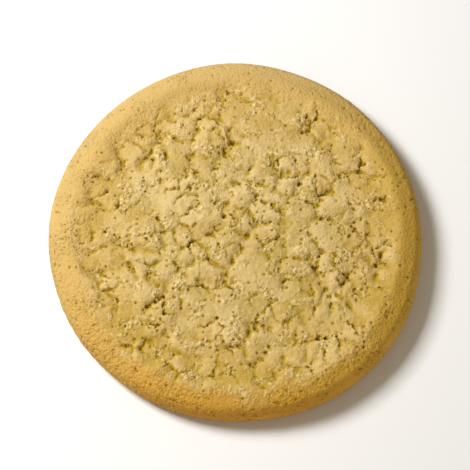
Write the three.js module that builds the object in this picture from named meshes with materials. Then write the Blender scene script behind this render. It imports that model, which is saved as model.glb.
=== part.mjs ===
// A round sugar cookie, as it comes off the baking tray: one solid piece of baked dough.
//
// The dough spreads into a disc with a flat underside. Its edge bulges a little over its foot and
// rounds up into a smooth raised rim. Inside the rim the top has sunk slightly, and its skin has
// broken into low uneven plates with creases between them.
//
// Units are millimetres and +Z is up. The cookie lies on its underside, with the origin at the
// middle of its bounding box, on the surface that it lies on.

import * as THREE from 'three';
import { ImprovedNoise } from 'three/addons/math/ImprovedNoise.js';

const { smoothstep, lerp, degToRad } = THREE.MathUtils;

// ---- Driving dimensions ----

// The section, from the middle of the top to the foot: heights above the underside, and insets
// from the outline.
const DIAMETER = 76;
const CENTRE_HEIGHT = 8.25; // the middle of the top, where the dough was thickest
const CROWN_INSET = 18;
const CROWN_HEIGHT = 8.1;
const DIP_INSET = 10; // the ring inside the rim, where the top has sunk most
const DIP_HEIGHT = 7.75;
const CREST_INSET = 5.2; // the top of the raised rim
const CREST_HEIGHT = 8.2;
const SLOPE_INSET = 3.1; // halfway down the even slope outside the crest
const SLOPE_HEIGHT = 7.2;
const SHOULDER_INSET = 0.9; // where that slope turns down into the side
const SHOULDER_HEIGHT = 5.9;
const BULGE_HEIGHT = 2.7; // where the side reaches furthest out
const TUCK_INSET = 0.45; // where the side turns in towards the foot
const TUCK_HEIGHT = 0.8;
const FOOT_INSET = 1.3; // the edge of the flat underside

const TOP_PITCH = 0.95; // the spacing of the mesh's points on the top, which has the relief
const SIDE_PITCH = 1.5;
const UNDERSIDE_PITCH = 5.5; // the underside is flat, so its points lie furthest apart

// The skin's plates, and the creases between them.
const PLATE_PITCH = 5.6;
const PLATE_JITTER = 0.55; // how far a plate's centre strays, as a share of the pitch
const PLATES_MERGED = 0.18; // the share of the plates that have grown into their neighbours
const PLATE_LIFT = 0.2; // the most that one plate stands above or below the others
const DOME = 0.48; // how far the middle of a large plate stands above its edge
const DOME_REACH = 2.8; // how far in from its edge a plate goes on rising
const CREASE_DEPTH = 0.42;
const CREASE_WIDTH = 0.9; // from the bottom of a crease to the edge of its plate
const BEND = 1.8; // how far the creases wander from straight lines
const BEND_SIZE = 4.4;
const CRUMPLE_START = 3.4; // the smooth band at the edge that has no plates at all
const CRUMPLE_FULL = 7.6; // how far in from the outline the plates have their full height
const CRUMPLE_WANDER = 1.8; // how much the width of the smooth band varies
const CRUMPLE_WANDER_SIZE = 9;
const CRUMPLE_LEAN = 1.2; // how much narrower the band is on one side than all round
const CRUMPLE_LEAN_ANGLE = -65; // the direction of that side, in degrees

// Parts of the skin have broken more than others: the size of those parts, and the share of the
// creases' depth that is left in the quiet ones.
const QUIET_SIZE = 7;
const QUIET_SHARE = 0.3;
const QUIET_BELOW = -0.3; // the noise below which the skin is quiet
const BROKEN_ABOVE = 0.2; // the noise above which it has broken fully

// Slow swells of the whole top, and the small lumps of the crumb.
const SWELL = 0.3;
const SWELL_SIZE = 10;
const LUMP = 0.16;
const LUMP_SIZE = 1.9;
const RIM_WAVE = 0.18;
const RIM_WAVE_SIZE = 9;

// The outline is a circle with a few slow lobes: the number of lobes, their height as a share of
// the radius, and the direction of one of them in degrees.
const LOBES = [
  [2, 0.0050, 118],
  [3, 0.0045, 70],
  [5, 0.0030, 25],
  [9, 0.0014, 12],
];

const SEED = 29;
const RADIUS = DIAMETER / 2;

// ---- Chance ----

// The same random numbers in every build.
function seededRandom(seed) {
  const MULTIPLIER = 16807;
  const MODULUS = 2147483647;
  let state = seed;
  return () => {
    state = (state * MULTIPLIER) % MODULUS;
    return state / MODULUS;
  };
}

// Smooth noise from about -1 to 1, with lumps of the given size. Each layer is a field of its own.
const LAYERS = { bendX: 1.5, bendY: 8.5, swell: 3.5, lump: 5.5, wave: 11.5, quiet: 16.5, wander: 21.5 };
const perlin = new ImprovedNoise();

function noise(x, y, size, layer) {
  return perlin.noise(x / size, y / size, layer);
}

// ---- The outline and the side-on profile ----

// The distance from the middle to the outline, as a share of the radius.
function outline(angle) {
  const lobe = ([count, height, direction]) => height * Math.cos(count * (angle - degToRad(direction)));
  return LOBES.reduce((sum, each) => sum + lobe(each), 1);
}

// Half of the cookie's section, from the middle of the top, over the rim and down to the foot.
function makeProfile() {
  return new THREE.SplineCurve([
    new THREE.Vector2(0, CENTRE_HEIGHT),
    new THREE.Vector2(RADIUS - CROWN_INSET, CROWN_HEIGHT),
    new THREE.Vector2(RADIUS - DIP_INSET, DIP_HEIGHT),
    new THREE.Vector2(RADIUS - CREST_INSET, CREST_HEIGHT),
    new THREE.Vector2(RADIUS - SLOPE_INSET, SLOPE_HEIGHT),
    new THREE.Vector2(RADIUS - SHOULDER_INSET, SHOULDER_HEIGHT),
    new THREE.Vector2(RADIUS, BULGE_HEIGHT),
    new THREE.Vector2(RADIUS - TUCK_INSET, TUCK_HEIGHT),
    new THREE.Vector2(RADIUS - FOOT_INSET, 0),
  ]);
}

// ---- The relief of the top ----

// The plates' centres: a staggered grid over the top, each point moved by chance and some left
// out, so that the plates differ in size.
function scatterPlates() {
  const random = seededRandom(SEED);
  const rowPitch = PLATE_PITCH * Math.sin(Math.PI / 3);
  const plates = [];
  for (let row = 0, y = -RADIUS; y <= RADIUS; row += 1, y += rowPitch) {
    for (let x = -RADIUS + (row % 2) * PLATE_PITCH / 2; x <= RADIUS; x += PLATE_PITCH) {
      const plate = {
        x: x + (2 * random() - 1) * PLATE_JITTER * PLATE_PITCH,
        y: y + (2 * random() - 1) * PLATE_JITTER * PLATE_PITCH,
        lift: (2 * random() - 1) * PLATE_LIFT,
      };
      if (random() > PLATES_MERGED) plates.push(plate);
    }
  }
  return plates;
}

const plates = scatterPlates();

// The height of the broken skin at a point: plates that stand unevenly, with a crease along every
// line that lies as near to one plate's centre as to the next.
function plateRelief(x, y) {
  const bentX = x + BEND * noise(x, y, BEND_SIZE, LAYERS.bendX);
  const bentY = y + BEND * noise(x, y, BEND_SIZE, LAYERS.bendY);
  let nearest = null;
  let near = Infinity;
  let next = Infinity;
  for (const plate of plates) {
    const distance = Math.hypot(bentX - plate.x, bentY - plate.y);
    if (distance < near) {
      next = near;
      near = distance;
      nearest = plate;
    } else if (distance < next) {
      next = distance;
    }
  }
  const inward = (next - near) / 2;
  const edge = smoothstep(inward, 0, CREASE_WIDTH);
  const dome = Math.sin((Math.PI / 2) * Math.min(inward / DOME_REACH, 1));
  const quiet = noise(x, y, QUIET_SIZE, LAYERS.quiet);
  const broken = lerp(QUIET_SHARE, 1, smoothstep(quiet, QUIET_BELOW, BROKEN_ABOVE));
  return broken * (CREASE_DEPTH * (edge - 1) + DOME * (dome - 0.5)) + nearest.lift * edge;
}

// All that the baking adds to the smooth profile, at a point that lies inset from the outline.
function relief(x, y, inset) {
  const wander = CRUMPLE_WANDER * noise(x, y, CRUMPLE_WANDER_SIZE, LAYERS.wander);
  const lean = CRUMPLE_LEAN * Math.cos(Math.atan2(y, x) - degToRad(CRUMPLE_LEAN_ANGLE));
  const inside = smoothstep(inset + wander + lean, CRUMPLE_START, CRUMPLE_FULL);
  const swell = SWELL * noise(x, y, SWELL_SIZE, LAYERS.swell);
  const lump = LUMP * noise(x, y, LUMP_SIZE, LAYERS.lump);
  const wave = RIM_WAVE * noise(x, y, RIM_WAVE_SIZE, LAYERS.wave);
  return lerp(wave, swell + lump + plateRelief(x, y), inside);
}

// ---- The mesh: closed rings of points, from the middle of the top to the middle of the base ----

// One ring at a distance from the middle. A ring of no size is a single point.
function makeRing(radius, height, pitch, stagger) {
  const count = Math.max(1, Math.round((2 * Math.PI * radius) / pitch));
  const points = [];
  for (let i = 0; i < count; i += 1) {
    const angle = ((i + stagger) / count) * 2 * Math.PI;
    const reach = radius * outline(angle);
    const x = reach * Math.cos(angle);
    const y = reach * Math.sin(angle);
    const upward = smoothstep(height, BULGE_HEIGHT, DIP_HEIGHT);
    points.push([x, y, height + upward * relief(x, y, RADIUS - radius)]);
  }
  return { points, stagger };
}

// The rings of the top and the side, close together on the top and further apart on the side.
function makeTopRings() {
  const profile = makeProfile();
  const length = profile.getLength();
  const pitchAt = (radius) =>
    lerp(SIDE_PITCH, TOP_PITCH, smoothstep(RADIUS - radius, SHOULDER_INSET, CREST_INSET));
  const places = [0];
  while (places.at(-1) < length) {
    const { x } = profile.getPointAt(places.at(-1) / length);
    places.push(places.at(-1) + pitchAt(x));
  }
  return places.map((place, i) => {
    const { x, y } = profile.getPointAt(place / places.at(-1));
    return makeRing(x, y, pitchAt(x), (i % 2) / 2);
  });
}

function makeBaseRings() {
  const footRadius = RADIUS - FOOT_INSET;
  const steps = Math.round(footRadius / UNDERSIDE_PITCH);
  const rings = [];
  for (let step = steps - 1; step >= 0; step -= 1) {
    rings.push(makeRing((footRadius * step) / steps, 0, UNDERSIDE_PITCH, 0));
  }
  return rings;
}

// Joins two neighbouring rings by triangles, going round both and always taking the shorter step.
function joinRings(inner, outer, triangles) {
  const steps = (ring) => (ring.points.length > 1 ? ring.points.length : 0);
  const turn = (ring, i) => (i + ring.stagger) / ring.points.length;
  const index = (ring, i) => ring.first + (i % ring.points.length);
  let i = 0;
  let j = 0;
  while (i < steps(inner) || j < steps(outer)) {
    const outerIsNext = turn(outer, j + 1) < turn(inner, i + 1);
    const stepOuter = i === steps(inner) || (j < steps(outer) && outerIsNext);
    const apex = stepOuter ? index(outer, j + 1) : index(inner, i + 1);
    triangles.push(index(inner, i), index(outer, j), apex);
    if (stepOuter) j += 1;
    else i += 1;
  }
}

// Moves a shape so that the middle of its bounding box is over the origin.
function centre(geometry) {
  geometry.computeBoundingBox();
  const middle = geometry.boundingBox.getCenter(new THREE.Vector3());
  return geometry.translate(-middle.x, -middle.y, 0);
}

function makeCookieGeometry() {
  const rings = [...makeTopRings(), ...makeBaseRings()];
  const positions = [];
  for (const ring of rings) {
    ring.first = positions.length / 3;
    positions.push(...ring.points.flat());
  }
  const triangles = [];
  for (let i = 1; i < rings.length; i += 1) {
    joinRings(rings[i - 1], rings[i], triangles);
  }
  const geometry = new THREE.BufferGeometry();
  geometry.setAttribute('position', new THREE.Float32BufferAttribute(positions, 3));
  geometry.setIndex(triangles);
  centre(geometry);
  geometry.computeVertexNormals();
  return geometry;
}

// ---- The part ----

const bakedDough = new THREE.MeshStandardMaterial({
  color: new THREE.Color().setRGB(0.80, 0.65, 0.38, THREE.SRGBColorSpace),
  roughness: 0.85,
  metalness: 0,
});

const cookie = new THREE.Mesh(makeCookieGeometry(), bakedDough);
cookie.name = 'cookie';

const part = new THREE.Group();
part.add(cookie);

export default part;
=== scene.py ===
# %% [markdown]
# # A sugar cookie
#
# A round sugar cookie is one piece of baked dough. What makes it look baked is its skin: a smooth
# rim that the oven has turned golden, and inside it a paler top that has broken into low plates,
# with creases, short cracks, pinholes and crumb between them. The solid model already has the
# disc, the rim and the larger plates. This lesson gives it the fine skin and the finish of the
# real thing, and then sets up the camera, the lights and the floor.

# %% Load the solid model
import math

import bpy
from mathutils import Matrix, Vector


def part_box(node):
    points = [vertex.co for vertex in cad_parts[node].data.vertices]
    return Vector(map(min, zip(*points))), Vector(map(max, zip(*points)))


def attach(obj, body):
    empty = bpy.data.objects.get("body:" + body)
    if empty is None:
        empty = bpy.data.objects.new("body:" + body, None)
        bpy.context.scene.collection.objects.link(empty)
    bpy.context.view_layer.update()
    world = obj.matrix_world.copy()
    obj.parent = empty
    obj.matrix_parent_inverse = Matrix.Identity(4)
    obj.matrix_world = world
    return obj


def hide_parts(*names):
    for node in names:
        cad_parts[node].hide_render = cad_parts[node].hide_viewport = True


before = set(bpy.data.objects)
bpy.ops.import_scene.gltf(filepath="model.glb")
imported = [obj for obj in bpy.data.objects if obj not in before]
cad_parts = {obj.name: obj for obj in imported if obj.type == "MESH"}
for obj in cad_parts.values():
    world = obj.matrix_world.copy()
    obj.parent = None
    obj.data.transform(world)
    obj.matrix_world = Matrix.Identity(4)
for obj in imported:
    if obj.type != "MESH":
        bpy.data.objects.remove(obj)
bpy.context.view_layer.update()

MM = 0.001
low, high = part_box("cookie")
RADIUS = (high.x - low.x + high.y - low.y) / 4 / MM
HEIGHT = high.z / MM
print(f"the cookie is {2 * RADIUS:.1f} mm across and {HEIGHT:.1f} mm high")

# %% [markdown]
# ## Sums of nodes
#
# The relief of the skin and its colour are both sums of noises. Blender writes such sums as
# nodes, but a page of wires is slow to read. So one small class stands for a socket, and lets
# Python's own signs add the Math nodes. Geometry nodes and shader nodes share the same Math,
# Noise and Voronoi nodes, so one recipe can serve them both: where the recipe says that there is
# a crack, the mesh goes down and the colour gets a painted shade in the same place.


# %% A socket that can be written into sums
class Term:
    """One socket of a node tree. A sum of terms and numbers adds the Math nodes that it needs."""

    def __init__(self, tree, socket=None):
        self.tree = tree
        self.socket = socket

    def node(self, kind, sockets=None, output=0, **settings):
        """Adds a node: its settings first, then a number or a term for each of its sockets."""
        made = self.tree.nodes.new(kind)
        for name, value in settings.items():
            setattr(made, name, value)
        for name, value in (sockets or {}).items():
            if isinstance(value, Term):
                self.tree.links.new(value.socket, made.inputs[name])
            else:
                made.inputs[name].default_value = value
        return Term(self.tree, made.outputs[output] if made.outputs else None)

    def math(self, operation, *values):
        return self.node("ShaderNodeMath", dict(enumerate(values)), operation=operation)

    def vector(self, operation, *values):
        return self.node("ShaderNodeVectorMath", dict(enumerate(values)), operation=operation)

    def __add__(self, other):
        return self.math("ADD", self, other)

    def __mul__(self, other):
        return self.math("MULTIPLY", self, other)

    def __sub__(self, other):
        return self.math("SUBTRACT", self, other)

    def __rsub__(self, other):
        return self.math("SUBTRACT", other, self)

    def __truediv__(self, other):
        return self.math("DIVIDE", self, other)

    __radd__ = __add__
    __rmul__ = __mul__

    def over(self, other):
        """The greater of two values."""
        return self.math("MAXIMUM", self, other)

    def under(self, other):
        """The smaller of two values."""
        return self.math("MINIMUM", self, other)

    def rise(self, start, end):
        """0 below start, 1 above end, and a smooth change between them."""
        sockets = {"Value": self, "From Min": start, "From Max": end}
        return self.node("ShaderNodeMapRange", sockets, interpolation_type="SMOOTHSTEP")

    def fall(self, start, end):
        """1 below start, 0 above end, and a smooth change between them."""
        return 1 - self.rise(start, end)

    def times(self, factor):
        """A vector made longer or shorter."""
        sockets = {0: self, "Scale": factor}
        return self.node("ShaderNodeVectorMath", sockets, operation="SCALE")

    def length(self):
        return self.node("ShaderNodeVectorMath", {0: self}, 1, operation="LENGTH")

    def dot(self, direction):
        """How far a point lies in a direction."""
        sockets = {0: self, 1: direction}
        return self.node("ShaderNodeVectorMath", sockets, 1, operation="DOT_PRODUCT")

    def part(self, index):
        """One number of a vector: 0 for x, 1 for y, 2 for z."""
        return self.node("ShaderNodeSeparateXYZ", {0: self}, index)


# %% [markdown]
# ## Soft noise
#
# Dough swells and browns unevenly, with no sharp borders. That could be painted, but noise gives
# it in one node. Where noise is cut off at a high value, only its peaks are left, which makes
# pores and grains. Dough has no straight lines or true circles either. So a distance that sets a
# border has a slow noise added, and the place where a pattern is read is first bent by a little
# noise. All sizes here are in millimetres.

# %% Noise, and bent places
MIDDLE = 0.5  # what noise is on average
WANDER_SIZE = 7.0


def noise(point, size, detail=2.0, space="2D"):
    """Soft noise from 0 to 1, mostly near 0.5, with lumps about size across."""
    sockets = {"Vector": point, "Scale": 1 / size, "Detail": detail}
    return point.node("ShaderNodeTexNoise", sockets, noise_dimensions=space)


def wander(point, reach, detail=3.0):
    """A slow change from place to place, by at most half of reach up or down."""
    return (noise(point, WANDER_SIZE, detail) - MIDDLE) * reach


def bend(point, reach, size):
    """The point, moved by chance by up to about reach."""
    sockets = {"Vector": point, "Scale": 1 / size}
    chance = point.node("ShaderNodeTexNoise", sockets, 1, noise_dimensions="2D")
    sideways = chance.vector("SUBTRACT", chance, (MIDDLE, MIDDLE, MIDDLE))
    return point.vector("ADD", point, sideways.times(2 * reach))


# %% [markdown]
# ## Cells and their seams
#
# Plates of dry skin meet in thin lines. Noise can't give lines that meet, but Voronoi cells do.
# One node tells how far the nearest border is, for the cracks. Another gives each cell a number
# and a middle, so that each plate can lie at its own height and lean its own way.


# %% Cells
def voronoi(point, size, output, feature="F1"):
    """One output of a pattern of cells that are about size across."""
    kind = {"feature": feature, "voronoi_dimensions": "2D"}
    return point.node("ShaderNodeTexVoronoi", {"Vector": point, "Scale": 1 / size}, output, **kind)


def seams(point, size):
    """How far the nearest border between two cells is."""
    return size * voronoi(point, size, "Distance", "DISTANCE_TO_EDGE")


def cells(point, size):
    """A number from 0 to 1 for each cell, and a tilt in a direction of the cell's own, which is 0
    in the middle of the cell and grows with the distance from it."""
    chance = voronoi(point, size, "Color")
    away = point.vector("SUBTRACT", point, voronoi(point, size, "Position"))
    lean = chance.vector("SUBTRACT", chance, (MIDDLE, MIDDLE, MIDDLE))
    tilt = (away.part(0) * lean.part(1) + away.part(1) * lean.part(2)) / size
    return chance.part(0), tilt


# %% [markdown]
# ## Plates and creases
#
# As the dough spreads in the oven, its dry skin can't stretch with it, and breaks. In some
# patches it breaks into small plates that tip against each other, and in others it stays whole.
# The creases between the larger plates are in the solid, and are found by their depth. Drawing
# each plate by hand would take days, and one even pattern of cells would look like tiles, so the
# cells are bent twice, and only show where the skin is broken.

# %% Plates
SMALL_PLATE = 4.0
PATCH = 7.0  # the size of the patches where the skin is broken or whole
PLATE_STEP = 0.3  # how far apart in height two plates can be
WIDE_BEND = (1.0, 2.2)  # how far a border is bent, and over what distance
FINE_BEND = (0.35, 0.8)
BROKEN = (0.44, 0.62)  # the noise between which whole skin turns into broken skin
CREASE = (0.06, 0.24)  # the depths between which a crease starts to show
VALLEY = (0.12, 0.42)  # the depths between which it turns into a valley
LINE_WIDTH = 0.5
EDGE_WIDTH = 1.2


def make_plates(point, hollow):
    """The plates' tone and steps, and how strongly each kind of border between them shows."""
    wavy = bend(bend(point, *WIDE_BEND), *FINE_BEND)
    seam = seams(wavy, SMALL_PLATE)
    tone, tilt = cells(wavy, SMALL_PLATE)
    broken = noise(point, PATCH).rise(*BROKEN)
    return {
        "tone": tone,
        "step": ((tone - MIDDLE) * PLATE_STEP + tilt) * (0.3 + 0.7 * broken),
        "broken": broken,
        "seam": seam,
        "line": hollow.rise(*CREASE).over(seam.fall(0.0, LINE_WIDTH) * broken),
        "edge": seam.fall(0.0, EDGE_WIDTH) * broken,
        "valley": hollow.rise(*VALLEY) * noise(point, SMALL_PLATE).rise(0.40, 0.60),
    }


print(f"small plates are about {SMALL_PLATE:.0f} mm wide, with steps of {PLATE_STEP:.1f} mm")

# %% [markdown]
# ## Crumb, cracks and holes
#
# Between the plates the dough tears open in short cracks and ragged holes, and crumb lies in
# patches of its own. Scattered holes alone would look like a sponge, so nearly every hole is tied
# to a crease or a border, and the cracks follow the cells' seams for a short way and stop. Each is
# where a noise passes a value, and what helps it to break open adds a little to that noise.

# %% Crumb and holes
CRUMB_PATCH = 3.6
CRUMBLY = (0.52, 0.64)  # the noise between which the skin turns into crumb
ELSEWHERE = (31.0, 7.0, 0.0)  # moves a second noise away from a first one of the same size
CRACK_WIDTH = 0.34
CRACK_LENGTH = 1.7
CRACKED = (0.64, 0.76)
CRACK_SHARE = 0.5  # a crack is this deep where a hole is 1
HOLE = 0.85
HOLE_BEND = (0.3, 0.6)
HOLED = (0.77, 0.85)
HOLE_GROUP = 3.4
GROUPED = (0.44, 0.60)


def make_crumb(point, line):
    """1 in the crumbly patches, which are larger along the creases."""
    elsewhere = point.vector("ADD", point, ELSEWHERE)
    return (noise(elsewhere, CRUMB_PATCH) + 0.10 * line).rise(*CRUMBLY)


def make_holes(point, plates, crumbly):
    """1 in the ragged holes, and less in the cracks."""
    line = plates["line"]
    short = (noise(point, CRACK_LENGTH) + 0.08 * plates["broken"] + 0.06 * line).rise(*CRACKED)
    crack = plates["seam"].fall(0.0, CRACK_WIDTH) * short * CRACK_SHARE
    group = noise(point, HOLE_GROUP).rise(*GROUPED)
    rough = noise(bend(point, *HOLE_BEND), HOLE) + 0.22 * line * group + 0.03 * crumbly
    return crack.over(rough.rise(*HOLED))


print(f"cracks are about {CRACK_WIDTH} mm wide and {CRACK_LENGTH} mm long")

# %% [markdown]
# ## Pinholes
#
# Bubbles of steam leave pinholes where they burst: many in the crumb, a few in the plates and on
# the rim. Peaks of noise would be ragged, so each pinhole is the middle of a cell. A cell has one
# only if its own number says so, which lets the share of cells with pinholes change from place to
# place, and another of its numbers gives the pinhole's size.

# %% Pinholes
PIN_CELL = 1.5
PIN_CENTRE = 0.08
PIN_RADIUS, PIN_GROWTH = 0.22, 0.24
PIN_LUCK = (0.97, 1.03)  # a cell has a pinhole where its number and the share come to about 1


def make_pinholes(point, share):
    """1 in the middle of each pinhole. The share of cells that have one goes from 0 to 1."""
    away = PIN_CELL * voronoi(point, PIN_CELL, "Distance")
    luck = voronoi(point, PIN_CELL, "Color")
    round_hole = away.fall(PIN_CENTRE, PIN_RADIUS + PIN_GROWTH * luck.part(1))
    return round_hole * (luck.part(0) + share).rise(*PIN_LUCK)


print(f"pinholes are {PIN_RADIUS:.2f} to {PIN_RADIUS + PIN_GROWTH:.2f} mm in radius")

# %% [markdown]
# ## The skin of the top
#
# All these forms together are the skin. It ends where the rim's crust starts, so each of them is
# multiplied by a mask that is 1 inside the rim. Only the pinholes go on over the rim, and stop on
# its shoulder.

# %% Skin
GRAIN = 0.9
SHOULDER = (5.0, 6.5)  # the heights between which the pinholes start
RIM_PINS, TOP_PINS, CRUMB_PINS = 0.08, 0.08, 0.30  # shares of cells, each on top of the last


def make_skin(point, hollow, inside):
    """The forms of the skin, by name. All but the step go from 0 to 1."""
    plates = make_plates(point, hollow)
    crumbly = make_crumb(point, plates["line"])
    forms = {name: plates[name] for name in ("line", "edge", "valley", "step")}
    forms.update(crumbly=crumbly, hole=make_holes(point, plates, crumbly))
    skin = {name: form * inside for name, form in forms.items()}

    share = RIM_PINS + TOP_PINS * inside + CRUMB_PINS * skin["crumbly"]
    pin = make_pinholes(point, share) * point.part(2).rise(*SHOULDER)
    return {**skin, "pin": pin, "tone": plates["tone"], "grain": noise(point, GRAIN, 3.0)}


# %% [markdown]
# ## The crust of the rim and the underside
#
# The rim's crust has stayed whole. It has only fine pores, more of them where it's raw, and as
# they go round a curved side, their noise is solid and not flat. The underside lay on a tray: it
# is flat, with shallow bubbles where air was caught. Peaks of noise do for both.

# %% Crust
PORE = 0.7
PORED = (0.645, 0.72)  # the noise between which a pore starts
RAW_PORES = 0.045  # what raw crust adds to that noise
BUBBLE = 2.4
BUBBLE_BEND = (0.6, 1.5)
BUBBLE_DEPTH = 0.35
UNEVEN = 1.6
UNEVEN_DEPTH = 0.16


def make_pores(point, raw):
    """1 in the middle of each pore of the crust."""
    return (noise(point, PORE, space="3D") + RAW_PORES * raw).rise(*PORED)


def make_base(point):
    """How deep, in millimetres, the dough of the underside stays clear of the tray."""
    bubble = noise(bend(point, *BUBBLE_BEND), BUBBLE, 3.0).rise(0.60, 0.72)
    uneven = noise(point, UNEVEN, 3.0).rise(0.40, 0.75)
    return BUBBLE_DEPTH * bubble + UNEVEN_DEPTH * uneven


print(f"bubbles of the underside are up to {BUBBLE_DEPTH + UNEVEN_DEPTH:.2f} mm deep")

# %% [markdown]
# ## A finer mesh
#
# The solid has points about every millimetre, which is enough for plates but not for cracks. A
# copy of it keeps its form. The copy's loose triangles are merged, and each is cut into sixteen.
# A Multiresolution modifier and sculpting would give the same detail, but nobody could repeat it
# or change it by a number.

# %% The copy
WELD = 0.001
FINE_CUTS = 3

bpy.ops.object.select_all(action="DESELECT")
cookie = bpy.data.objects.new("sugar_cookie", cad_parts["cookie"].data.copy())
bpy.context.scene.collection.objects.link(cookie)
bpy.context.view_layer.objects.active = cookie
cookie.select_set(True)

bpy.ops.object.mode_set(mode="EDIT")
bpy.ops.mesh.select_mode(type="FACE")
bpy.ops.mesh.select_all(action="SELECT")
bpy.ops.mesh.remove_doubles(threshold=WELD * MM)
bpy.ops.mesh.subdivide(number_cuts=FINE_CUTS)
bpy.ops.mesh.select_all(action="DESELECT")
bpy.ops.object.mode_set(mode="OBJECT")
print(f"the copy has {len(cookie.data.polygons)} faces")

# %% [markdown]
# The solid's underside is flat, so its triangles are large there. They are picked by their height
# and cut once more, for the bubbles. Cutting the whole cookie again would cost four times as many
# faces, and the top doesn't need them.

# %% The underside of the copy
for face in cookie.data.polygons:
    face.select = face.center.z < WELD * MM
bpy.ops.object.mode_set(mode="EDIT")
bpy.ops.mesh.subdivide(number_cuts=1)
bpy.ops.mesh.select_all(action="SELECT")
bpy.ops.mesh.quads_convert_to_tris()
bpy.ops.object.mode_set(mode="OBJECT")
print(f"with a finer underside it has {len(cookie.data.polygons)} faces")

# %% [markdown]
# The new points still lie on the old flat facets, which would show in a low light. A Smooth
# modifier rounds them. A Subdivision Surface would too, but it would cut every face again.

# %% Smoothing
SMOOTHING_ROUNDS = 8

smooth = cookie.modifiers.new("smooth", "SMOOTH")
smooth.factor = 0.5
smooth.iterations = SMOOTHING_ROUNDS
bpy.ops.object.modifier_apply(modifier="smooth")
print(f"smoothing leaves it {cookie.dimensions.z / MM:.2f} mm high")

# %% [markdown]
# ## Where each kind of skin is
#
# The crumb reaches closer to the edge at the front of the cookie than at the back, and its border
# wanders. Near the back left of the border it's calmer, and passes softly into the rim. Outside it
# the crust is whole, but in patches, mostly at the front left, it is raw. At the right a low ridge
# runs along the inner edge of the rim. Painted masks could say all this too, but a few directions
# and distances do, and they can be changed by a number.
#
# How deep a point lies could be asked of the solid, but it's simpler to blur the heights: where a
# point is lower than the blurred height, it is in a hollow. A wide blur finds the creases, and a
# narrow one the small pits.

# %% Sides and depths
FRONT = (0.15, -1.0, 0.0)
RAW_SIDE = (-0.6, -0.8, 0.0)
RIDGE_SIDE = (0.87, -0.5, 0.0)
CALM_SIDE = (-0.75, 0.66, 0.0)
WIDE_BLUR = 40
NARROW_BLUR = 7


def radius_of(point):
    """How far a point is from the middle of the cookie, whatever its height."""
    return point.vector("MULTIPLY", point, (1.0, 1.0, 0.0)).length()


def turned(point, side):
    """How far a point lies towards a side: 1 at the edge there, and -1 at the edge opposite."""
    return point.dot(side) / RADIUS


def blur(value, rounds):
    return value.node("GeometryNodeBlurAttribute", {"Value": value, "Iterations": rounds})


print(f"the creases are found by {WIDE_BLUR} rounds of blur, and the pits by {NARROW_BLUR}")

# %% [markdown]
# With those, each kind of skin is one line. Most borders are a pair of distances from the edge of
# the cookie, or a pair of heights, with a soft change between the two.

# %% Masks for the zones
SIDE_TO_TOP = (5.0, 7.0)  # the heights between which the side turns into the top
CRUMB_BORDER = (3.9, 7.8)  # from the edge, where the crumb starts and where it's full
BORDER_WANDER = 6.0
FRONT_REACH = 2.3  # how much closer to the edge the crumb comes at the front
CALM_TURN, CALM_BORDER = (0.25, 0.8), (6.0, 14.0)
CALM_SHARE = 0.5  # how much of the crumb is missing where it's calm
RIDGE_TURN, RIDGE_BORDER = (0.3, 0.8), (4.0, 7.5)
RAW_PATCH = 6.0
RAW_LEAN = 0.12  # how strongly the raw patches keep to their side
RAW = (0.44, 0.62)
BASE_BORDER = (1.6, 3.2)
BASE_HEIGHT = (0.01, 0.05)
FOOT_HEIGHT = (0.5, 2.0)


def make_zones(point):
    """Where the crumb, the raw crust, the ridge and the base are, and how deep each point lies."""
    z = point.part(2)
    inset = RADIUS - radius_of(point)
    top = z.rise(*SIDE_TO_TOP)
    change = wander(point, BORDER_WANDER, 2.0)
    reach = inset + change + turned(point, FRONT) * FRONT_REACH
    raw = noise(point, RAW_PATCH, space="3D") + turned(point, RAW_SIDE) * RAW_LEAN
    ridge_side = turned(point, RIDGE_SIDE).rise(*RIDGE_TURN)
    calm = turned(point, CALM_SIDE).rise(*CALM_TURN) * inset.fall(*CALM_BORDER)
    return {
        "inside": reach.rise(*CRUMB_BORDER) * top * (1 - CALM_SHARE * calm),
        "raw": raw.rise(*RAW),
        "ridge": (inset + change * 0.3).fall(*RIDGE_BORDER) * ridge_side * top,
        "hollow": (blur(z, WIDE_BLUR) - z) * top,
        "cavity": (blur(z, NARROW_BLUR) - z) * top,
        "base": z.fall(*BASE_HEIGHT) * inset.rise(*BASE_BORDER),
        "off_floor": z.rise(*FOOT_HEIGHT),
    }


print(f"the rim's crust is {CRUMB_BORDER[0]} to {CRUMB_BORDER[1]} mm wide")

# %% [markdown]
# ## How deep each form is
#
# A bump in the material could fake all of this from above, but not at the edge of the cookie, and
# it would be lost with the material. So the forms that can be seen are in the mesh, each with a
# depth of its own. They are added up, because real forms lie over each other too: a crack in a
# crease is deeper than a crack in a plate.

# %% Depths
HOLE_DEPTH = 0.44
PIN_DEPTH = 0.30
LINE_DEPTH = 0.10
EDGE_DEPTH = 0.20
VALLEY_DEPTH = 0.42
GRAIN_HEIGHT = 0.24
CRUMB_HEIGHT = 0.60
RIDGE_HEIGHT = 0.25
PORE_DEPTH = 0.22
RIM_GRAIN_HEIGHT = 0.36
WHOLE_GRAIN, RAW_GRAIN = 0.3, 1.4  # shares of it in whole crust, and added in raw crust


def top_depth(skin, inside):
    """How far down the top goes from the smooth form."""
    breaks = HOLE_DEPTH * skin["hole"] + PIN_DEPTH * skin["pin"]
    creases = LINE_DEPTH * skin["line"] + EDGE_DEPTH * skin["edge"] + VALLEY_DEPTH * skin["valley"]
    crumb = (GRAIN_HEIGHT * inside + CRUMB_HEIGHT * skin["crumbly"]) * (skin["grain"] - MIDDLE)
    return breaks + creases - crumb - skin["step"]


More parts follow.
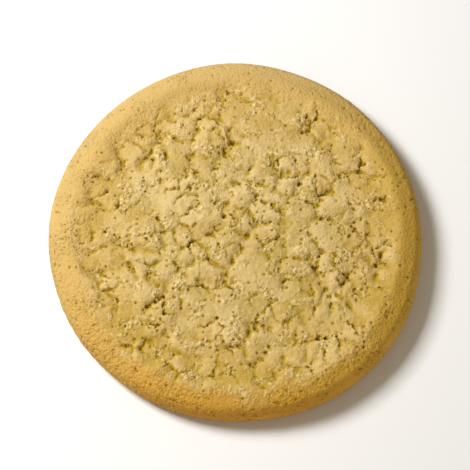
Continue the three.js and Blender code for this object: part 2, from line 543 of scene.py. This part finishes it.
def rim_depth(point, zones):
    """How far in the crust of the rim goes."""
    rough = WHOLE_GRAIN + RAW_GRAIN * zones["raw"]
    grain = rough * (noise(point, GRAIN, 3.0, "3D") - MIDDLE)
    crust = PORE_DEPTH * make_pores(point, zones["raw"]) - RIM_GRAIN_HEIGHT * grain
    return crust * (1 - zones["inside"]) * zones["off_floor"] - RIDGE_HEIGHT * zones["ridge"]


print(f"a hole in a crease is up to {HOLE_DEPTH + LINE_DEPTH + VALLEY_DEPTH:.2f} mm deep")

# %% [markdown]
# ## Moving the points
#
# Geometry nodes move each point by its depth. On the top it moves straight down, which keeps the
# cracks upright and the patterns in their places, and on the side it moves along the surface's
# normal. The underside is pushed up where it has bubbles. The zones are kept on the mesh, so that
# the finish can read them: a shader can't blur heights, so it couldn't find the creases again.

# %% Relief
KEPT = ("hollow", "cavity", "inside", "raw")
UPRIGHT = (0.0, 0.0, 1.0)


def move(geometry, offset):
    return geometry.node("GeometryNodeSetPosition", {"Geometry": geometry, "Offset": offset})


def make_relief():
    tree = bpy.data.node_groups.new("skin", "GeometryNodeTree")
    tree.interface.new_socket("Geometry", in_out="INPUT", socket_type="NodeSocketGeometry")
    tree.interface.new_socket("Geometry", in_out="OUTPUT", socket_type="NodeSocketGeometry")
    start = Term(tree)
    geometry = start.node("NodeGroupInput")
    point = start.node("GeometryNodeInputPosition").times(1 / MM)
    zones = make_zones(point)
    inside = zones["inside"]

    # sockets 4 and 5 of a Mix node are its two vectors
    ways = {0: inside, 4: start.node("GeometryNodeInputNormal"), 5: UPRIGHT}
    outward = start.node("ShaderNodeMix", ways, 1, data_type="VECTOR")
    depth = top_depth(make_skin(point, zones["hollow"], inside), inside) + rim_depth(point, zones)
    geometry = move(geometry, outward.times(depth * -MM))
    up = start.node("ShaderNodeCombineXYZ", {"Z": zones["base"] * make_base(point) * MM})
    geometry = move(geometry, up)

    for name in KEPT:
        kept = {"Geometry": geometry, "Name": name, "Value": zones[name]}
        geometry = start.node("GeometryNodeStoreNamedAttribute", kept, data_type="FLOAT")
    start.node("NodeGroupOutput", {0: geometry})
    return tree


# %% [markdown]
# A modifier that stays live is worked out again each time that something reads the cookie. This
# one is applied, so from here on the relief is plain geometry, as if it had been pressed in.

# %% The relief is applied
relief = cookie.modifiers.new("skin", "NODES")
relief.node_group = make_relief()
bpy.ops.object.modifier_apply(modifier="skin")
bpy.ops.object.shade_smooth()
print(f"the skin has {len(cookie.data.vertices)} points")
print(f"with it the cookie is {cookie.dimensions.z / MM:.2f} mm high")

# %% [markdown]
# ## The colours of baked dough
#
# Dough is pale yellow, sugar and butter brown it, and flour whitens what stands up. Some colours
# are painted light: what stands up is also paler as a painted highlight, creases, pits and holes
# get painted shade, and the side towards the key light is paler and the side away darker. The
# colours were set in the finished light, because the warm light changes them. Each is mixed softly
# into the ones before it, by a mask from 0 to 1. The number that such a mask is multiplied by is
# the share of the new colour where the mask is full.

# %% Colours
PALE = (0.560, 0.392, 0.136)
GOLDEN = (0.568, 0.368, 0.101)
# The next three rim colours are partly how it baked and partly painted light: the first is paler
# as a painted highlight, the other two are darker as painted shade.
BUTTERY_AND_LIT = (0.605, 0.411, 0.149)
TOASTED_AND_SHADED = (0.640, 0.348, 0.050)
PAINTED_SHADE_TAN = (0.560, 0.350, 0.056)
BROWN = (0.360, 0.165, 0.030)
BISCUIT = (0.520, 0.290, 0.070)
# A pale colour for flour, also used for painted highlights on what stands up.
FLOUR_AND_HIGHLIGHT = (0.800, 0.624, 0.310)
OLIVE = (0.410, 0.270, 0.004)
# The next two colours are painted shade: for the valleys, and for holes, pinholes and pores.
CREASE_SHADE = (0.300, 0.185, 0.004)
HOLE_SHADE = (0.270, 0.145, 0.000)


def mix(first, second, share):
    """A colour between two others. Sockets 6 and 7 of a Mix node are its two colours."""
    first, second = (c if isinstance(c, Term) else (*c, 1.0) for c in (first, second))
    return share.node("ShaderNodeMix", {0: share, 6: first, 7: second}, 2, data_type="RGBA")


# %% [markdown]
# ## How the oven has coloured it, and painted light and shade by side
#
# The top has stayed pale, and gets more golden towards the rim. Towards the front the top is
# painted yellower as painted shade, and towards the back left paler as a painted highlight. The
# rim is buttery at the back left, toasted at the front and tan at the right: partly how it baked,
# and partly painted light, paler as a painted highlight on the side towards the key light and
# darker as painted shade on the sides away from it, and the tan at the right is painted shade
# alone. The side below it is brown, and at the front, where it baked hardest, the brown reaches up
# over the rim. A ramp from the middle to the edge would give rings, so the borders wander with a
# noise.

# %% The top, the rim and the side
# Sides of painted light: the first is the front, darker as painted shade and partly as baking, the
# second the right, where the rim gets painted shade.
BAKED_AND_SHADED_SIDE = (0.4, -0.92, 0.0)
RIGHT_SHADE_SIDE = (0.98, -0.2, 0.0)
BAKED_AND_SHADED_FROM = (-24.0, 38.0)  # how far towards that side the change starts and ends
RIGHT_SHADE_FROM = (0.0, 40.0)
FRONT_FROM = (26.0, 38.0)
GOLDEN_FROM = (16.0, 32.0)  # how far from the middle the change starts and ends
RIM_FROM = (31.0, 36.0)
COLOUR_WANDER = 8.0
BROWN_UP_TO = 3.8
FRONT_BROWN = (5.5, 8.2)  # the heights between which the brown of the front ends


def oven_colour(point, inside):
    """The colour by place alone, without the underside, with painted light and shade by side."""
    radius = radius_of(point)
    change = wander(point, COLOUR_WANDER)
    baked_and_shaded = (point.dot(BAKED_AND_SHADED_SIDE) + change).rise(*BAKED_AND_SHADED_FROM)
    right_shade = (point.dot(RIGHT_SHADE_SIDE) + change).rise(*RIGHT_SHADE_FROM)
    edge = (inside.fall(0.0, 1.0) + (radius + change * 0.4).rise(*RIM_FROM)) * 0.5

    colour = mix(PALE, GOLDEN, (radius + change).rise(*GOLDEN_FROM))
    # Painted light on the top: yellower at the front as painted shade, paler at the back left as a
    # painted highlight.
    colour = mix(colour, OLIVE, baked_and_shaded.rise(0.5, 1.0) * 0.20 * inside)
    colour = mix(colour, FLOUR_AND_HIGHLIGHT, baked_and_shaded.fall(0.0, 0.5) * 0.08 * inside)
    # The rim by side: partly baking, partly a painted highlight towards the key light and painted
    # shade away from it.
    colour = mix(colour, mix(mix(BUTTERY_AND_LIT, TOASTED_AND_SHADED, baked_and_shaded), PAINTED_SHADE_TAN, right_shade), edge)
    front = (point.dot(FRONT) + change).rise(*FRONT_FROM) * edge
    colour = mix(colour, BROWN, point.part(2).fall(*FRONT_BROWN) * front * 0.30)
    return mix(colour, BROWN, point.part(2).fall(0.0, BROWN_UP_TO) * 0.85)


# %% [markdown]
# ## The colour of the underside
#
# The tray has browned the underside, more near the edge, where the dough is thin, and in blotches.
# Where a bubble kept the dough off the tray, it has stayed paler. The same bubbles as in the mesh
# are used, so that the colour fits them.

# %% The underside
TRAY_EDGE = (35.5, 37.5)
TRAY_HEIGHT = (0.3, 0.7)
TRAY_WANDER = 12.0
BLOTCH = 3.0
BROWNED = (8.0, 37.0)


def add_underside(colour, point):
    blotches = noise(point, BLOTCH, 4.0).rise(0.42, 0.66) * 0.4
    change = wander(point, TRAY_WANDER)
    browned = (radius_of(point) + change).rise(*BROWNED) * 0.7 + blotches
    tray = mix(BISCUIT, BROWN, browned.under(1.0))
    tray = mix(tray, GOLDEN, make_base(point).rise(0.10, 0.50) * 0.45)
    on_tray = point.part(2).fall(*TRAY_HEIGHT) * radius_of(point).fall(*TRAY_EDGE)
    return mix(colour, tray, on_tray)


# %% [markdown]
# ## How the broken skin colours it, with painted shade and highlights
#
# Each plate has its own tone, and larger patches are paler or yellower at random, and yellower
# where the dough has sunk, as painted shade. Light bounces about in a hollow and takes up the
# dough's own colour, so creases and pits are painted a deeper yellow, and holes dark, as painted
# shade. What stands up is paler: the crumb's grains partly from flour and partly as a painted
# highlight, and the small peaks as a painted highlight. A shadow alone would leave the creases
# grey.

# %% Plates, specks and creases
SPECK = 0.8
PALE_SPECK, DULL_SPECK = (0.54, 0.66), (0.30, 0.46)
MOTTLE = 9.0  # the size of the paler and yellower patches
PALE_PATCH, YELLOW_PATCH = (0.50, 0.66), (0.36, 0.54)
PALE_PLATE, YELLOW_PLATE = (0.4, 1.0), (0.0, 0.5)
PIT, DEEP_PIT, PEAK = (0.01, 0.14), (0.06, 0.24), (-0.10, -0.01)  # depths in millimetres


def add_specks(colour, point, skin, zones):
    """Pale grains and dull specks, mostly in the crumb and raw crust, and painted shade in
    creases.
    """
    inside, crumbly = zones["inside"], skin["crumbly"]
    crumb = crumbly.over(zones["raw"] * (1 - inside))
    speck = noise(point, SPECK, space="3D")
    # Raised grains of the crumb are paler, partly flour and partly a painted highlight.
    raised = skin["grain"].rise(0.50, 0.66) * crumbly * 0.35
    bright = raised + speck.rise(*PALE_SPECK) * (0.16 * inside + 0.6 * crumbly)
    # The valleys get painted shade.
    colour = mix(mix(colour, FLOUR_AND_HIGHLIGHT, bright.under(1.0)), CREASE_SHADE, skin["valley"] * 0.52)
    # Part of the dull colour is painted shade along the creases; the specks are the dough's own.
    dull = skin["line"] * 0.20 + speck.fall(*DULL_SPECK) * (0.22 + 0.25 * crumb)
    return mix(colour, OLIVE, dull)


def skin_colour(colour, point, skin, zones):
    """The colour with plates, specks, creases and holes on it, and painted shade and highlights.
    """
    inside, cavity = zones["inside"], zones["cavity"]
    # Patches at random, yellower where the dough has sunk, which is painted shade.
    mottle_and_shade = noise(point.vector("ADD", point, ELSEWHERE), MOTTLE, 3.0) - 0.4 * zones["hollow"]
    colour = mix(colour, FLOUR_AND_HIGHLIGHT, mottle_and_shade.rise(*PALE_PATCH) * 0.24 * inside)
    colour = mix(colour, OLIVE, mottle_and_shade.fall(*YELLOW_PATCH) * 0.26 * inside)
    colour = mix(colour, FLOUR_AND_HIGHLIGHT, skin["tone"].rise(*PALE_PLATE) * 0.22 * inside)
    colour = mix(colour, OLIVE, skin["tone"].fall(*YELLOW_PLATE) * 0.10 * inside)
    colour = add_specks(colour, point, skin, zones)
    # Painted shade: the pits get a deeper yellow.
    deep = cavity.rise(*PIT) * (0.15 + 0.25 * inside) + cavity.rise(*DEEP_PIT) * 0.35
    colour = mix(colour, OLIVE, deep)
    # Painted highlight: the small peaks are made paler.
    colour = mix(colour, FLOUR_AND_HIGHLIGHT, cavity.fall(*PEAK) * 0.12 * inside)
    # Painted shade: holes, pinholes and the rim's pores are painted dark.
    pores = make_pores(point, zones["raw"]) * (1 - inside) * 0.8
    return mix(colour, HOLE_SHADE, (skin["hole"] * 0.85 + skin["pin"] * 0.75 + pores).under(1.0))


# %% [markdown]
# ## The grain
#
# Flour and sugar leave a surface that is rough to the touch. Its grains are finer than the mesh's
# points, and another cut of the mesh would make it four times as heavy, so they are a bump: soft
# noise, and rounded grains. The bump is strongest in the crumb.

# %% Grain
FLOUR_GRAIN = 0.45
SUGAR_GRAIN = 0.6
FLOUR_SHARE, SUGAR_SHARE = 0.7, 0.35
PLAIN_BUMP, CRUMB_BUMP = 0.55, 0.65  # shares of the bump anywhere, and added in the crumb


def grain_height(point, skin, zones):
    crumb = skin["crumbly"].over(zones["raw"] * (1 - zones["inside"]))
    flour = noise(point, FLOUR_GRAIN, 2.5, "3D")
    sockets = {"Vector": point, "Scale": 1 / SUGAR_GRAIN}
    sugar = point.node("ShaderNodeTexVoronoi", sockets, feature="SMOOTH_F1")
    height = flour * FLOUR_SHARE - sugar * SUGAR_SHARE
    return height * (PLAIN_BUMP + CRUMB_BUMP * crumb)


print(f"the bump's grains are {FLOUR_GRAIN} to {SUGAR_GRAIN} mm wide")

# %% [markdown]
# ## The finish
#
# Baked dough is matte, with hardly any gloss, so one Principled shader with a high roughness is
# enough. Light also goes a little way into dough, but at this size that only softens the cracks,
# and the deeper yellow of the hollows already stands for it.

# %% Baked dough
BUMP_DEPTH = 0.5
ROUGHNESS = 0.8
GLOSS = 0.08
OBJECT_PLACE = 3  # the Texture Coordinate output that stays on the object


def make_finish():
    material = bpy.data.materials.new("baked dough")
    material.use_nodes = True
    tree = material.node_tree
    shader = tree.nodes["Principled BSDF"]
    shader.inputs["Roughness"].default_value = ROUGHNESS
    shader.inputs["Specular IOR Level"].default_value = GLOSS

    start = Term(tree)
    point = start.node("ShaderNodeTexCoord", output=OBJECT_PLACE).times(1 / MM)
    zones = {
        name: start.node("ShaderNodeAttribute", output="Fac", attribute_name=name) for name in KEPT
    }
    skin = make_skin(point, zones["hollow"], zones["inside"])
    colour = add_underside(oven_colour(point, zones["inside"]), point)
    tree.links.new(skin_colour(colour, point, skin, zones).socket, shader.inputs["Base Color"])

    sockets = {"Distance": BUMP_DEPTH * MM, "Height": grain_height(point, skin, zones)}
    tree.links.new(start.node("ShaderNodeBump", sockets).socket, shader.inputs["Normal"])
    print(f"the finish has {len(tree.nodes)} nodes")
    return material


cookie.data.materials.clear()
cookie.data.materials.append(make_finish())

# %% [markdown]
# ## The camera
#
# The cookie is seen from well above, at 71 degrees. Straight from above would hide the side, and
# a lower view would hide the top. A long lens from far off keeps it nearly free of perspective, so
# its round outline stays true. The camera's distance is worked out from the share of the picture
# that the cookie should take.

# %% Camera
CAMERA_ELEVATION = math.radians(71)
LENS = 150.0
SENSOR = 36.0
COOKIE_SHARE = 0.80  # how much of the picture's width the cookie takes

back = Vector((0, -math.cos(CAMERA_ELEVATION), math.sin(CAMERA_ELEVATION)))
upward = Vector((0, math.sin(CAMERA_ELEVATION), math.cos(CAMERA_ELEVATION)))
right = Vector((1, 0, 0))
middle = Vector((0, 0, HEIGHT / 2 * MM))
distance = 2 * RADIUS * MM / COOKIE_SHARE * LENS / SENSOR

lens = bpy.data.cameras.new("camera")
lens.lens = LENS
lens.sensor_width = SENSOR
camera = bpy.data.objects.new("camera", lens)
camera.location = middle + back * distance
camera.rotation_euler = (-back).to_track_quat("-Z", "Y").to_euler()
bpy.context.scene.collection.objects.link(camera)
bpy.context.scene.camera = camera
print(f"the camera is {distance:.2f} m away")

# %% [markdown]
# ## The lights
#
# A small soft light from the upper left is low enough to show the plates, as window light would.
# A wider and warmer one from the lower right keeps the shaded side from going grey. The lights
# are placed by where they are in the picture, so they keep their sides when the camera's height
# is changed.

# %% Lights
WARM = (1.0, 0.76, 0.43)


def towards(angle, lift):
    """A direction seen in the picture: its angle, and how far it points out of the picture."""
    across = math.cos(math.radians(lift))
    turn = math.radians(angle)
    in_picture = math.cos(turn) * right + math.sin(turn) * upward
    return across * in_picture + math.sin(math.radians(lift)) * back


def lamp(name, direction, away, size, power, colour=(1.0, 1.0, 1.0)):
    """A square soft light that faces the cookie."""
    data = bpy.data.lights.new(name, "AREA")
    data.size = size
    data.energy = power
    data.color = colour
    made = bpy.data.objects.new(name, data)
    made.location = middle + direction * away
    made.rotation_euler = (-direction).to_track_quat("-Z", "Y").to_euler()
    bpy.context.scene.collection.objects.link(made)
    print(f"the {name} light is {made.location.z:.2f} m above the floor")


lamp("key", towards(angle=138, lift=38), away=0.44, size=0.15, power=2.34)
lamp("fill", towards(angle=-58, lift=32), away=0.9, size=0.6, power=2.3, colour=WARM)

# %% [markdown]
# A faint warm glow from all round keeps the shadows from going black, as the walls of a room do.
# The Standard view shows the colours as they were set, and the other views would grey them.

# %% Glow
GLOW_COLOUR = (1.0, 0.92, 0.78, 1.0)
GLOW_STRENGTH = 0.21

world = bpy.data.worlds.new("studio")
world.use_nodes = True
glow = world.node_tree.nodes["Background"]
glow.inputs["Color"].default_value = GLOW_COLOUR
glow.inputs["Strength"].default_value = GLOW_STRENGTH
bpy.context.scene.world = world
bpy.context.scene.view_settings.view_transform = "Standard"
print(f"the glow has a strength of {GLOW_STRENGTH}")

# %% [markdown]
# ## The floor
#
# A plain pale floor shows the shadow, and leaves the cookie alone in the picture. It is wide
# enough to fill the view from any side.

# %% Floor
FLOOR_SIZE = 4
FLOOR_COLOUR = (0.9, 0.9, 0.9, 1.0)
FLOOR_ROUGHNESS = 0.6

bpy.ops.mesh.primitive_plane_add(size=FLOOR_SIZE)
floor = bpy.context.active_object
floor.name = "floor"
paint = bpy.data.materials.new("pale floor")
paint.use_nodes = True
paint_shader = paint.node_tree.nodes["Principled BSDF"]
paint_shader.inputs["Base Color"].default_value = FLOOR_COLOUR
paint_shader.inputs["Roughness"].default_value = FLOOR_ROUGHNESS
floor.data.materials.append(paint)
print(f"the floor is {FLOOR_SIZE} m wide")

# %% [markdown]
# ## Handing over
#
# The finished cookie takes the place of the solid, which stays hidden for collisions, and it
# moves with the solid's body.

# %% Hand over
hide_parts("cookie")
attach(cookie, "root")
